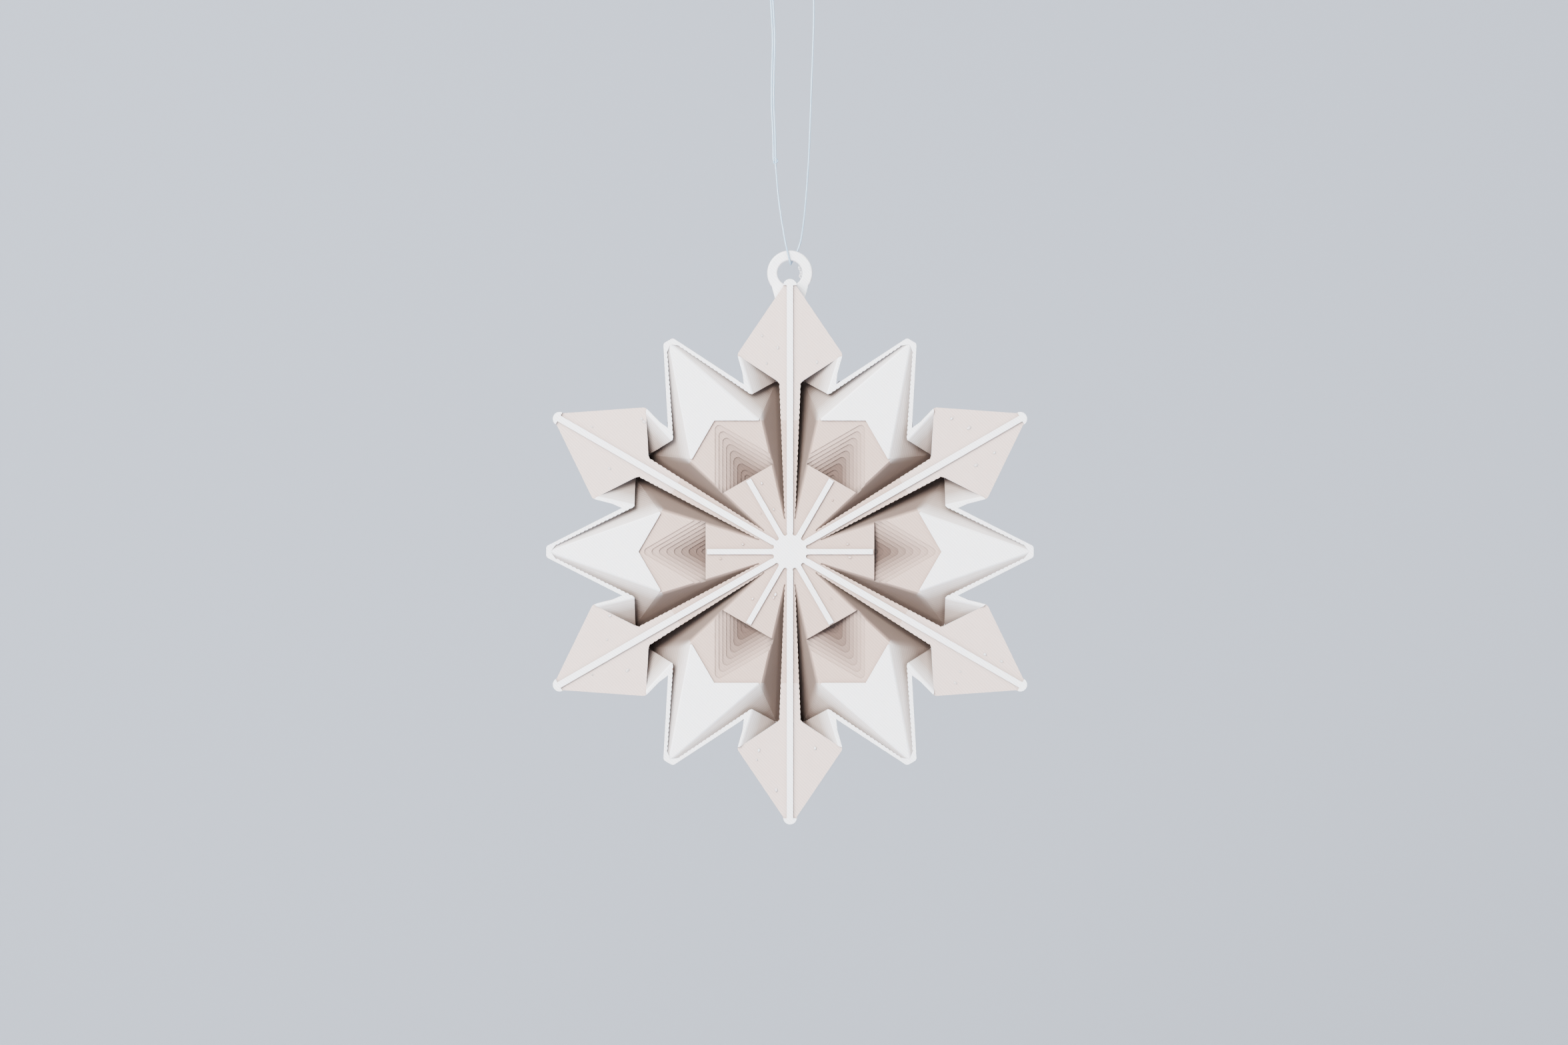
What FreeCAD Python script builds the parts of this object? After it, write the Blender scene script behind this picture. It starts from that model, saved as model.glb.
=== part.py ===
import FreeCAD, Part
import math
import os
import Sketcher

# A hanging snowflake star, printed in two equal halves that are glued back to back, on a
# loop of clear nylon thread.  +Z is up and the star faces -Y.  The origin is the inside of
# the thread loop's top, where it hangs on a hook.  All sizes are in millimetres.
#
# A star half is drawn flat: x across, y up an arm, z out of the half's glued face.  Six long
# arms end in kites, with one pointing up (+y), and six short arms stand between them.

os.makedirs("parts", exist_ok=True)
doc = FreeCAD.newDocument("snowflake_star")

SIZES = [
    ("arm_count", 6, "long arms, and as many short arms between them"),
    ("half_thickness", 6.0, "glued face to the front plane of one half"),
    ("skin_step", 0.4, "kites and hexagon lie this far below the front plane"),
    ("kite_tip_y", 45.0, "long arm's tip from the star's centre"),
    ("kite_side_x", 8.7, "kite's widest point, across"),
    ("kite_side_y", 32.6, "kite's widest point, along"),
    ("kite_waist_x", 7.8, "where the kite's side turns in to the notch, across"),
    ("kite_waist_y", 29.4, "where the kite's side turns in to the notch, along"),
    ("notch_x", 7.6, "notch between a long and a short arm, across"),
    ("notch_y", 27.6, "notch between a long and a short arm, along"),
    ("tip_blunt_half", 1.05, "half the kite's blunt end, under its rounded end"),
    ("tip_blunt_y", 43.9, "kite's blunt end from the star's centre"),
    ("tip_bulb_radius", 1.12, "rounded end of a long arm"),
    ("side_round", 1.0, "rounding at the kite's widest point"),
    ("short_tip_y", 40.2, "short arm's blunt tip from the star's centre"),
    ("short_tip_half", 0.9, "half the blunt tip's width"),
    ("short_tip_round", 0.6, "rounding of the blunt tip's corners"),
    ("vein_half", 0.52, "half the raised vein's width on a long arm"),
    ("vein_end_y", 44.0, "end of the long arm's vein"),
    ("short_vein_half", 0.44, "half the raised vein's width on a short arm"),
    ("short_vein_end_y", 13.7, "end of the short arm's vein"),
    ("hub_radius", 3.1, "where the sunk fingers between the veins begin"),
    ("finger_radius", 0.36, "round end of a sunk finger"),
    ("plate_flat_y", 13.9, "small hexagon, centre to flat, across the short arms"),
    ("field_flat_y", 21.65, "large hexagon, centre to flat, across the long arms"),
    ("groove_start_y", 5.4, "inner end of the grooves beside a rib"),
    ("groove_start_x", 1.39, "groove's outer edge at its inner end"),
    ("groove_corner_x", 5.16, "groove's outer edge at the large hexagon"),
    ("groove_angle", 47.0, "slope of the groove's wall in degrees"),
    ("facet_angle", 35.0, "slope of the facet under a kite in degrees"),
    ("rib_start_half", 0.75, "half the rib's width at its inner end"),
    ("rib_end_half", 1.65, "half the rib's width where the kite begins"),
    ("rib_end_y", 27.7, "where the rib meets the kite"),
    ("kite_root_x", 2.2, "inner end of the kite's edge, across"),
    ("kite_root_y", 28.3, "inner end of the kite's edge, along"),
    ("facet_top_x", 8.25, "upper corner of the sloped facet under a kite, across"),
    ("facet_top_y", 32.2, "upper corner of the sloped facet under a kite, along"),
    ("facet_foot_x", 6.3, "lower corner of the sloped facet, across"),
    ("facet_foot_y", 26.0, "lower corner of the sloped facet, along"),
    ("panel_tip_y", 39.5, "raised arrowhead's point on a short arm"),
    ("lip_end_y", 38.6, "outer end of the thin lip's inner edge"),
    ("lip_end_x", 1.2, "lip's inner edge from the short arm's middle line there"),
    ("pit_terraces", 9, "level steps from a pit's crease to its deepest point"),
    ("terrace_height", 0.2, "one printed layer"),
    ("terrace_width", 0.61, "tread of one step"),
    ("terrace_round", 0.7, "rounding of a step's point"),
    ("rib_bead_pitch", 0.85, "spacing of the bead ends along a rib's edge"),
    ("lip_bead_pitch", 0.75, "spacing of the bead ends along a lip's inner edge"),
    ("bead_rise", 0.12, "how far the bead ends stand out of an edge"),
    ("eye_centre_y", 46.3, "hanging eye's centre from the star's centre"),
    ("eye_outer", 3.77, "hanging eye's outer radius"),
    ("eye_inner", 2.08, "hanging eye's hole radius"),
    ("eye_half_thickness", 0.75, "half the eye's thickness"),
    ("eye_round", 0.3, "rounding of the eye's edges"),
    ("neck_foot_half", 2.4, "half the eye's neck where it meets the kite's sides"),
    ("neck_foot_y", 41.9, "neck's foot from the star's centre"),
    ("neck_top_half", 3.0, "half the eye's neck where it meets the ring"),
    ("neck_top_y", 44.1, "neck's top from the star's centre"),
    ("hang_drop", 100.0, "hook down to the star's centre"),
    ("thread_diameter", 0.3, "nylon thread"),
    ("thread_clear", 0.2, "thread to the eye's faces"),
    ("knot_radius", 0.42, "knot across the thread"),
    ("knot_half_length", 0.65, "knot along the thread"),
]

sheet = doc.addObject("Spreadsheet::Sheet", "sizes")
for row, (alias, value, note) in enumerate(SIZES, start=1):
    sheet.set(f"A{row}", note)
    sheet.set(f"B{row}", str(value))
    sheet.setAlias(f"B{row}", alias)
doc.recompute()


def size(alias):
    return float(sheet.get(alias))


ARM_COUNT = int(size("arm_count"))
SECTOR = 360.0 / ARM_COUNT
HALF_SECTOR = SECTOR / 2
THICKNESS = size("half_thickness")
CUTTER_HEADROOM = 1.0
DROP = size("hang_drop")


def from_short_arm(along, across):
    """A point given on the short arm to the right of the upper long arm, in the flat plan.

    across is positive towards the long arm."""
    turn = math.radians(HALF_SECTOR)
    x = along * math.sin(turn) - across * math.cos(turn)
    y = along * math.cos(turn) + across * math.sin(turn)
    return x, y


def short_arm_expressions(along, across):
    """The same turn as from_short_arm, written for the sheet's cells."""
    x = f"({along}) * sin({HALF_SECTOR}) - ({across}) * cos({HALF_SECTOR})"
    y = f"({along}) * cos({HALF_SECTOR}) + ({across}) * sin({HALF_SECTOR})"
    return x, y


# ---------------------------------------------------------------- sketch and body helpers

def origin_plane(body, role):
    return next(item for item in body.Origin.OriginFeatures if item.Role == role)


def new_sketch(body, name, role="XY_Plane"):
    sketch = body.newObject("Sketcher::SketchObject", name)
    sketch.AttachmentSupport = [(origin_plane(body, role), "")]
    sketch.MapMode = "FlatFace"
    return sketch


def drive(sketch, kind, places, expression):
    """Add one dimension to a sketch and bind it to the sheet."""
    value = float(sketch.evalExpression(expression))
    index = sketch.addConstraint(Sketcher.Constraint(kind, *places, value))
    sketch.setExpression(f"Constraints[{index}]", expression)


def draw_polygon(sketch, corners):
    """A closed outline whose corners are pairs of expressions, each corner held by both."""
    points = []
    for x, y in corners:
        points.append(FreeCAD.Vector(sketch.evalExpression(x), sketch.evalExpression(y), 0))
    first = sketch.GeometryCount
    count = len(points)
    for index in range(count):
        line = Part.LineSegment(points[index], points[(index + 1) % count])
        sketch.addGeometry(line, False)
    for index in range(count):
        following = first + (index + 1) % count
        sketch.addConstraint(Sketcher.Constraint("Coincident", first + index, 2, following, 1))
    for index, (x, y) in enumerate(corners):
        drive(sketch, "DistanceX", (first + index, 1), x)
        drive(sketch, "DistanceY", (first + index, 1), y)


def draw_circle(sketch, x, y, radius):
    centre = FreeCAD.Vector(sketch.evalExpression(x), sketch.evalExpression(y), 0)
    circle = Part.Circle(centre, FreeCAD.Vector(0, 0, 1), sketch.evalExpression(radius))
    index = sketch.addGeometry(circle, False)
    drive(sketch, "DistanceX", (index, 3), x)
    drive(sketch, "DistanceY", (index, 3), y)
    drive(sketch, "Radius", (index,), radius)


def mirrored(corners):
    """The same outline on the other side of the long arm."""
    return [(f"-({x})", y) for x, y in reversed(corners)]


def pattern_round(body, feature, name):
    pattern = body.newObject("PartDesign::PolarPattern", name)
    pattern.Originals = [feature]
    axis = next(item for item in body.Origin.OriginFeatures if item.Role == "Z_Axis")
    pattern.Axis = (axis, [""])
    pattern.Angle = 360
    pattern.setExpression("Occurrences", "sizes.arm_count")
    body.Tip = pattern
    doc.recompute()
    return pattern


def upright_edges_near(shape, radius, tolerance):
    """Names of the upright edges whose distance from the star's centre is radius."""
    names = []
    for index, edge in enumerate(shape.Edges, start=1):
        ends = [vertex.Point for vertex in edge.Vertexes]
        if len(ends) != 2 or abs(ends[0].z - ends[1].z) < THICKNESS / 2:
            continue
        if abs(math.hypot(ends[0].x, ends[0].y) - radius) < tolerance:
            names.append(f"Edge{index}")
    return names


def round_edges(body, base, radius_alias, distance, name):
    fillet = body.newObject("PartDesign::Fillet", name)
    names = upright_edges_near(base.Shape, distance, 0.05)
    if len(names) != 2 * ARM_COUNT:
        raise ValueError(f"{name}: {len(names)} edges to round")
    fillet.Base = (base, names)
    fillet.setExpression("Radius", f"sizes.{radius_alias}")
    body.Tip = fillet
    doc.recompute()
    return fillet


# ------------------------------------------------------------------- the star half's plate

def make_plate(prefix):
    """The half's outline at full thickness, with the kites and hexagon one step lower."""
    body = doc.addObject("PartDesign::Body", f"{prefix}_plate")

    sector = new_sketch(body, f"{prefix}_sector")
    tip_middle = short_arm_expressions("sizes.short_tip_y", "0")
    tip_corner = short_arm_expressions("sizes.short_tip_y", "sizes.short_tip_half")
    right_side = [
        tip_middle,
        tip_corner,
        ("sizes.notch_x", "sizes.notch_y"),
        ("sizes.kite_waist_x", "sizes.kite_waist_y"),
        ("sizes.kite_side_x", "sizes.kite_side_y"),
        ("sizes.tip_blunt_half", "sizes.tip_blunt_y"),
    ]
    draw_polygon(sector, [("0", "0")] + right_side + mirrored(right_side))
    pad = body.newObject("PartDesign::Pad", f"{prefix}_sector_pad")
    pad.Profile = sector
    pad.setExpression("Length", "sizes.half_thickness")
    body.Tip = pad
    doc.recompute()
    star = pattern_round(body, pad, f"{prefix}_star")

    side = math.hypot(size("kite_side_x"), size("kite_side_y"))
    star = round_edges(body, star, "side_round", side, f"{prefix}_side_rounding")
    tip = math.hypot(size("short_tip_y"), size("short_tip_half"))
    round_edges(body, star, "short_tip_round", tip, f"{prefix}_tip_rounding")

    bulb = new_sketch(body, f"{prefix}_bulb")
    draw_circle(bulb, "0", "sizes.kite_tip_y - sizes.tip_bulb_radius", "sizes.tip_bulb_radius")
    bulb_pad = body.newObject("PartDesign::Pad", f"{prefix}_bulb_pad")
    bulb_pad.Profile = bulb
    bulb_pad.setExpression("Length", "sizes.half_thickness")
    body.Tip = bulb_pad
    doc.recompute()
    solid = pattern_round(body, bulb_pad, f"{prefix}_bulbs")

    before = solid.Shape.Volume
    sunk = new_sketch(body, f"{prefix}_sunk_fields")
    sunk.setExpression("AttachmentOffset.Base.z", "sizes.half_thickness")
    hub_x = f"sizes.hub_radius * sin({HALF_SECTOR / 2})"
    hub_y = f"sizes.hub_radius * cos({HALF_SECTOR / 2})"
    outside = "sizes.kite_side_x + sizes.side_round"
    field = [
        (hub_x, hub_y),
        ("sizes.vein_half", hub_y),
        ("sizes.vein_half", "sizes.vein_end_y"),
        (outside, "sizes.vein_end_y"),
        (outside, "sizes.facet_top_y + sizes.skin_step"),
        ("sizes.facet_top_x", "sizes.facet_top_y"),
        ("sizes.kite_root_x", "sizes.kite_root_y"),
        ("sizes.groove_corner_x", "sizes.field_flat_y"),
        (f"sizes.field_flat_y * tan({HALF_SECTOR})", "sizes.field_flat_y"),
        short_arm_expressions("sizes.short_vein_end_y", "0"),
        short_arm_expressions("sizes.short_vein_end_y", "sizes.short_vein_half"),
        short_arm_expressions("sizes.hub_radius", "sizes.short_vein_half"),
    ]
    draw_polygon(sunk, field)
    draw_polygon(sunk, mirrored(field))
    pocket = body.newObject("PartDesign::Pocket", f"{prefix}_sunk_pocket")
    pocket.Profile = sunk
    pocket.setExpression("Length", "sizes.skin_step")
    body.Tip = pocket
    doc.recompute()
    solid = pattern_round(body, pocket, f"{prefix}_sunk_pattern")

    fingers = new_sketch(body, f"{prefix}_fingers")
    fingers.setExpression("AttachmentOffset.Base.z", "sizes.half_thickness")
    draw_circle(fingers, hub_x, hub_y, "sizes.finger_radius")
    draw_circle(fingers, f"-{hub_x}", hub_y, "sizes.finger_radius")
    finger_pocket = body.newObject("PartDesign::Pocket", f"{prefix}_finger_pocket")
    finger_pocket.Profile = fingers
    finger_pocket.setExpression("Length", "sizes.skin_step")
    body.Tip = finger_pocket
    doc.recompute()
    solid = pattern_round(body, finger_pocket, f"{prefix}_finger_pattern")
    if solid.Shape.Volume > before - 100:
        raise ValueError("the sunk fields cut nothing")
    return body


def make_eye(prefix):
    """Half of the hanging eye, a round-edged ring on a neck, lying against the glued face."""
    body = doc.addObject("PartDesign::Body", f"{prefix}_eye")
    section = new_sketch(body, f"{prefix}_eye_section", "XZ_Plane")
    corners = [
        ("sizes.eye_inner", "0"),
        ("sizes.eye_outer", "0"),
        ("sizes.eye_outer", "sizes.eye_half_thickness - sizes.eye_round"),
        ("sizes.eye_outer - sizes.eye_round", "sizes.eye_half_thickness"),
        ("sizes.eye_inner + sizes.eye_round", "sizes.eye_half_thickness"),
        ("sizes.eye_inner", "sizes.eye_half_thickness - sizes.eye_round"),
    ]
    points = []
    for x, y in corners:
        points.append(FreeCAD.Vector(section.evalExpression(x), section.evalExpression(y), 0))
    inset = size("eye_round") * (1 - math.sqrt(0.5))
    outer_mid = FreeCAD.Vector(size("eye_outer") - inset, size("eye_half_thickness") - inset, 0)
    inner_mid = FreeCAD.Vector(size("eye_inner") + inset, size("eye_half_thickness") - inset, 0)
    pieces = [
        Part.LineSegment(points[0], points[1]),
        Part.LineSegment(points[1], points[2]),
        Part.Arc(points[2], outer_mid, points[3]),
        Part.LineSegment(points[3], points[4]),
        Part.Arc(points[4], inner_mid, points[5]),
        Part.LineSegment(points[5], points[0]),
    ]
    for piece in pieces:
        section.addGeometry(piece, False)
    # An arc drawn by three points runs anticlockwise, so its start and end keep this order.
    joints = [(0, 2, 1, 1), (1, 2, 2, 1), (2, 2, 3, 1), (3, 2, 4, 1), (4, 2, 5, 1), (5, 2, 0, 1)]
    for joint in joints:
        section.addConstraint(Sketcher.Constraint("Coincident", *joint))
    for line, (x, y) in zip((0, 1, 3, 5), (corners[0], corners[1], corners[3], corners[5])):
        drive(section, "DistanceX", (line, 1), x)
        drive(section, "DistanceY", (line, 1), y)
    for line, (x, y) in ((1, corners[2]), (3, corners[4])):
        drive(section, "DistanceX", (line, 2), x)
        drive(section, "DistanceY", (line, 2), y)
    drive(section, "Radius", (2,), "sizes.eye_round")
    drive(section, "Radius", (4,), "sizes.eye_round")
    ring = body.newObject("PartDesign::Revolution", f"{prefix}_eye_ring")
    ring.Profile = section
    ring.ReferenceAxis = (section, ["V_Axis"])
    ring.Angle = 360
    body.Tip = ring
    doc.recompute()

    neck = new_sketch(body, f"{prefix}_eye_neck")
    foot_y = "sizes.neck_foot_y - sizes.eye_centre_y"
    top_y = "sizes.neck_top_y - sizes.eye_centre_y"
    neck_side = [("sizes.neck_foot_half", foot_y), ("sizes.neck_top_half", top_y)]
    draw_polygon(neck, neck_side + mirrored(neck_side))
    neck_pad = body.newObject("PartDesign::Pad", f"{prefix}_eye_neck_pad")
    neck_pad.Profile = neck
    neck_pad.setExpression("Length", "sizes.eye_half_thickness")
    body.Tip = neck_pad
    body.Placement = FreeCAD.Placement(FreeCAD.Vector(0, size("eye_centre_y"), 0), FreeCAD.Rotation())
    doc.recompute()
    return body


# -------------------------------------------------------------------- the relief's wedges

def wedge(corners):
    """A cutter over an outline: corners are (x, y, depth below the front plane)."""
    lower = [FreeCAD.Vector(x, y, THICKNESS - depth) for x, y, depth in corners]
    upper = [FreeCAD.Vector(x, y, THICKNESS + CUTTER_HEADROOM) for x, y, depth in corners]
    faces = [Part.Face(Part.makePolygon(ring + ring[:1])) for ring in (lower, upper)]
    count = len(corners)
    for index in range(count):
        following = (index + 1) % count
        side = [lower[index], lower[following], upper[following], upper[index], lower[index]]
        faces.append(Part.Face(Part.makePolygon(side)))
    return Part.makeSolid(Part.makeShell(faces))


def distance_beyond(point, start, end):
    """How far a point lies to the left of the line from start to end."""
    run = math.dist(start, end)
    across = (end[0] - start[0]) * (point[1] - start[1]) - (end[1] - start[1]) * (point[0] - start[0])
    return across / run


def sloped_cut(outline, start, end, slope):
    """A cutter whose floor leaves the front plane along a line and falls to its left."""
    return wedge([(x, y, slope * distance_beyond((x, y), start, end)) for x, y in outline])


def edge_beads(start, end, pitch_alias):
    """Upright cylinders along an edge, which stand out to the left of the line by a little."""
    pitch = size(pitch_alias)
    rise = size("bead_rise")
    radius = (pitch ** 2 / 4 + rise ** 2) / (2 * rise)
    run = math.dist(start, end)
    along = ((end[0] - start[0]) / run, (end[1] - start[1]) / run)
    left = (-along[1], along[0])
    beads = []
    for index in range(int(run / pitch)):
        travel = (index + 0.5) * pitch
        x = start[0] + travel * along[0] + (rise - radius) * left[0]
        y = start[1] + travel * along[1] + (rise - radius) * left[1]
        base = FreeCAD.Vector(x, y, -CUTTER_HEADROOM)
        beads.append(Part.makeCylinder(radius, THICKNESS + 3 * CUTTER_HEADROOM, base))
    return beads


def terrace_outline(inset):
    """One step of a pit: a triangle with its point towards the short arm's tip, rounded."""
    lean = math.radians(HALF_SECTOR)
    base = size("plate_flat_y")
    point = size("field_flat_y") / math.cos(lean) - inset / math.sin(lean)
    half_base = (point - base) * math.tan(lean)
    radius = min(size("terrace_round"), 0.6 * half_base)
    centre = point - radius / math.sin(lean)
    touch_along = centre + radius * math.sin(lean)
    touch_across = radius * math.cos(lean)
    places = [
        (base, half_base),
        (touch_along, touch_across),
        (centre + radius, 0),
        (touch_along, -touch_across),
        (base, -half_base),
    ]
    left, near, tip, far, right = [FreeCAD.Vector(*from_short_arm(*place), 0) for place in places]
    edges = [
        Part.LineSegment(left, near),
        Part.Arc(near, tip, far),
        Part.LineSegment(far, right),
        Part.LineSegment(right, left),
    ]
    return Part.Face(Part.Wire([edge.toShape() for edge in edges]))


def pit_cutter():
    """The stepped pit on one short arm, deepest at the middle of the small hexagon's edge."""
    steps = []
    for index in range(int(size("pit_terraces"))):
        depth = size("skin_step") + (index + 1) * size("terrace_height")
        outline = terrace_outline((index + 0.2) * size("terrace_width"))
        outline.translate(FreeCAD.Vector(0, 0, THICKNESS - depth))
        steps.append(outline.extrude(FreeCAD.Vector(0, 0, depth + CUTTER_HEADROOM)))
    return steps[0].multiFuse(steps[1:])


def relief_beside_rib():
    """The cutters on the right of one long arm: the groove, the flank and the facet."""
    groove_start = (size("groove_start_x"), size("groove_start_y"))
    groove_corner = (size("groove_corner_x"), size("field_flat_y"))
    rib_start = (size("rib_start_half"), size("groove_start_y"))
    rib_end = (size("rib_end_half"), size("rib_end_y"))
    kite_root = (size("kite_root_x"), size("kite_root_y"))
    facet_top = (size("facet_top_x"), size("facet_top_y"))
    facet_foot = (size("facet_foot_x"), size("facet_foot_y"))
    panel_tip = from_short_arm(size("panel_tip_y"), 0)
    lip_end = from_short_arm(size("lip_end_y"), size("lip_end_x"))

    # The groove's wall falls from its outer edge to the rib, whose edge is beaded.
    groove_slope = math.tan(math.radians(size("groove_angle")))
    groove = [groove_start, groove_corner, facet_foot, kite_root, rib_end, rib_start]
    groove_cut = sloped_cut(groove, groove_start, groove_corner, groove_slope)
    groove_cut = groove_cut.cut(edge_beads(rib_end, rib_start, "rib_bead_pitch"))

    # The short arm's flank falls to the groove's depth at the kite's root.
    deepest = groove_slope * distance_beyond(kite_root, groove_start, groove_corner)
    flank_slope = deepest / distance_beyond(kite_root, groove_corner, panel_tip)
    flank = [panel_tip, lip_end, facet_foot, kite_root, groove_corner]
    flank_cut = sloped_cut(flank, groove_corner, panel_tip, flank_slope)
    flank_cut = flank_cut.cut(edge_beads(lip_end, facet_foot, "lip_bead_pitch"))

    # The facet falls from the star's outer lip towards the kite's root.
    facet_slope = math.tan(math.radians(size("facet_angle")))
    facet = [facet_top, kite_root, facet_foot]
    facet_cut = sloped_cut(facet, facet_foot, facet_top, facet_slope)
    return [groove_cut, flank_cut, facet_cut]


def make_relief():
    """All the cutters: six pits, and a groove, flank and facet on both sides of each rib."""
    up = FreeCAD.Vector(0, 0, 1)
    origin = FreeCAD.Vector()
    patterns = [pit_cutter()]
    for cutter in relief_beside_rib():
        patterns.append(cutter)
        patterns.append(cutter.mirror(origin, FreeCAD.Vector(1, 0, 0)))
    cutters = []
    for cutter in patterns:
        for arm in range(ARM_COUNT):
            turned = cutter.copy()
            turned.rotate(origin, up, arm * SECTOR)
            cutters.append(turned)
    relief = doc.addObject("Part::Feature", "relief")
    relief.Shape = cutters[0].multiFuse(cutters[1:])
    return relief


def make_star_half(label, blank, relief, facing):
    """One printed half; facing is 0 for the front half and 180 for the back half."""
    half = doc.addObject("Part::Cut", label)
    half.Base = blank
    half.Tool = relief
    half.Label = label
    stand_up = FreeCAD.Rotation(FreeCAD.Vector(1, 0, 0), 90)
    face = FreeCAD.Rotation(FreeCAD.Vector(0, 0, 1), facing)
    half.Placement = FreeCAD.Placement(FreeCAD.Vector(0, 0, -DROP), face.multiply(stand_up))
    doc.recompute()
    if half.Shape.Volume > blank.Shape.Volume - 1000:
        raise ValueError(f"{label}: the relief cut too little")
    return half


# ------------------------------------------------------------------------------ the thread

HALF_THREAD = size("thread_diameter") / 2
EYE_TOP = size("eye_centre_y") + size("eye_inner") - DROP
BESIDE_EYE = size("eye_half_thickness") + size("thread_clear") + HALF_THREAD
UNDER_EYE = EYE_TOP - HALF_THREAD - 0.5
LOOP_TOP = HALF_THREAD
PASS_X = 0.1

# Where the thread leaves the moving bight at the eye: one point in front, one behind.
FRONT_SPLIT = (-1.15, -0.88, -46.4)
BACK_SPLIT = (2.1, 0.88, -46.5)

EYE_BIGHT_ROUTE = [
    FRONT_SPLIT,
    (-0.75, -BESIDE_EYE, -48.8),
    (PASS_X, -BESIDE_EYE, UNDER_EYE),
    (PASS_X, BESIDE_EYE, UNDER_EYE),
    (1.7, BESIDE_EYE, -49.0),
    BACK_SPLIT,
]

LOOP_ROUTE = [
    FRONT_SPLIT,
    (-1.54, -0.7, -44.0),
    (-2.09, -0.5, -39.85),
    (-2.42, -0.35, -35.0),
    (-2.38, -0.25, -31.4),
    (-2.72, -0.15, -25.8),
    (-2.65, -0.1, -20.2),
    (-2.46, 0.0, -14.6),
    (-2.8, 0.0, -8.8),
    (-3.2, 0.0, LOOP_TOP),
    (3.5, 0.0, LOOP_TOP),
    (4.05, 0.0, -8.6),
    (3.85, 0.0, -16.0),
    (3.6, 0.1, -22.0),
    (3.38, 0.2, -28.6),
    (3.16, 0.35, -34.2),
    (2.82, 0.5, -39.3),
    (2.42, 0.7, -44.1),
    BACK_SPLIT,
]

KNOT = (-2.42, -0.35, -35.0)

TAG_ROUTE = [
    (-2.78, -0.4, -34.9),
    (-2.76, -0.25, -31.4),
    (-3.09, -0.15, -25.8),
    (-3.01, -0.1, -20.2),
    (-2.83, 0.0, -14.6),
    (-3.17, 0.0, -8.8),
    (-3.42, 0.0, -4.0),
]


def tube_path(label, points):
    """Straight runs joined by tangent arcs, each as large as its shorter run allows."""
    corners = [FreeCAD.Vector(*point) for point in points]
    edges = []
    radii = []
    start = corners[0]
    for before, corner, after in zip(corners, corners[1:], corners[2:]):
        back = before - corner
        ahead = after - corner
        shorter = min(back.Length, ahead.Length)
        turn = math.pi - back.getAngle(ahead)
        radius = 0.45 * shorter / math.tan(turn / 2)
        radii.append(radius)
        trim = 0.45 * shorter
        arc_start = corner + back.normalize() * trim
        arc_end = corner + ahead.normalize() * trim
        inward = (back + ahead).normalize()
        arc_mid = corner + inward * (radius / math.cos(turn / 2) - radius)
        edges.append(Part.LineSegment(start, arc_start).toShape())
        edges.append(Part.Arc(arc_start, arc_mid, arc_end).toShape())
        start = arc_end
    edges.append(Part.LineSegment(start, corners[-1]).toShape())
    print(label, "radii", " ".join(f"{radius:.1f}" for radius in radii))
    return Part.Wire(edges)


def make_thread(label, points):
    """A plain round tube along a route, with its volume compared with its length."""
    path = doc.addObject("Part::Feature", f"{label}_path")
    path.Shape = tube_path(label, points)
    circle = doc.addObject("Part::Circle", f"{label}_section")
    circle.setExpression("Radius", "sizes.thread_diameter / 2")
    start = FreeCAD.Vector(*points[0])
    heading = FreeCAD.Vector(*points[1]) - start
    turn = FreeCAD.Rotation(FreeCAD.Vector(0, 0, 1), heading)
    circle.Placement = FreeCAD.Placement(start, turn)
    tube = doc.addObject("Part::Sweep", label)
    tube.Sections = [circle]
    tube.Spine = (path, [f"Edge{index + 1}" for index in range(len(path.Shape.Edges))])
    tube.Solid = True
    tube.Frenet = False
    tube.Transition = "Right corner"
    tube.Label = label
    doc.recompute()
    expected = math.pi * HALF_THREAD ** 2 * path.Shape.Length
    print(label, f"length {path.Shape.Length:.2f} volume {tube.Shape.Volume:.4f} of {expected:.4f}")
    if abs(tube.Shape.Volume - expected) > 0.02 * expected:
        raise ValueError(f"{label}: the tube's volume is off")
    return tube


def make_knot(label):
    knot = doc.addObject("Part::Ellipsoid", label)
    knot.setExpression("Radius1", "sizes.knot_half_length")
    knot.setExpression("Radius2", "sizes.knot_radius")
    knot.setExpression("Radius3", "sizes.knot_radius")
    knot.Placement = FreeCAD.Placement(FreeCAD.Vector(*KNOT), FreeCAD.Rotation())
    knot.Label = label
    return knot


# ------------------------------------------------------------------------------- the parts

blank = doc.addObject("Part::MultiFuse", "half_blank")
blank.Shapes = [make_plate("half"), make_eye("half")]
relief = make_relief()
doc.recompute()

parts = [
    make_star_half("star_front_half", blank, relief, 0),
    make_star_half("star_back_half", blank, relief, 180),
    make_thread("thread_eye_bight", EYE_BIGHT_ROUTE),
    make_thread("thread_loop", LOOP_ROUTE),
    make_thread("thread_tag_end", TAG_ROUTE),
    make_knot("thread_knot"),
]
doc.recompute()

for item in doc.Objects:
    if "Invalid" in item.State or "Error" in item.State:
        raise ValueError(f"{item.Name}: {item.State}")
for part in parts:
    if part.Shape.isNull() or not part.Shape.isValid():
        raise ValueError(f"{part.Label}: its shape is null or not valid")
    print(part.Label, "solids", len(part.Shape.Solids), f"volume {part.Shape.Volume:.2f}")
for part in parts:
    part.Shape.exportStep(f"parts/{part.Label}.step")
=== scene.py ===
# A white 3-D printed snowflake star on a loop of clear nylon thread, as an add-on with one
# operator for each group of pieces.  Lengths are in metres unless a name says mm, +Z is up
# and the star faces -Y.
import math
import random

import bmesh
import bpy
from mathutils import Matrix, Vector


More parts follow.
